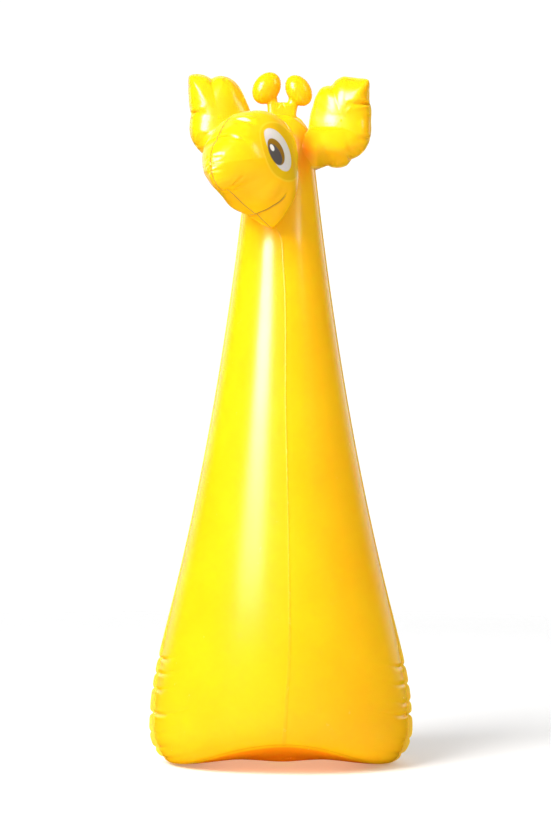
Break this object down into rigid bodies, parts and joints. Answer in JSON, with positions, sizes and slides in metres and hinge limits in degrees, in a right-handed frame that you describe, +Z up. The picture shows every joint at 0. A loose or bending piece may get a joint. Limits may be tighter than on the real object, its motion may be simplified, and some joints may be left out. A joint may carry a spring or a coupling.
{
  "type": "inflatable giraffe",
  "caption": "Tall cone-shaped inflatable giraffe in glossy yellow vinyl, with a turned head, pillow ears, balloon horns and an arched hem between two feet.",
  "frame": {"origin": "middle of the small flat patch of the bottom panel that rests on the floor, level with the feet", "axes": "+Z up along the neck, -Y to the front of the body, +X to the giraffe's own left"},
  "size_m": [0.3438, 0.2802, 0.897],
  "materials": {
    "yellow_vinyl": "glossy calendered vinyl sheet",
    "valve_vinyl": "soft moulded vinyl, natural colour"
  },
  "bodies": {
    "root": {"body": "yellow_vinyl", "head": "yellow_vinyl", "ear_left": "yellow_vinyl", "ear_right": "yellow_vinyl", "horns": "yellow_vinyl", "valve": "valve_vinyl"}
  },
  "joints": []
}
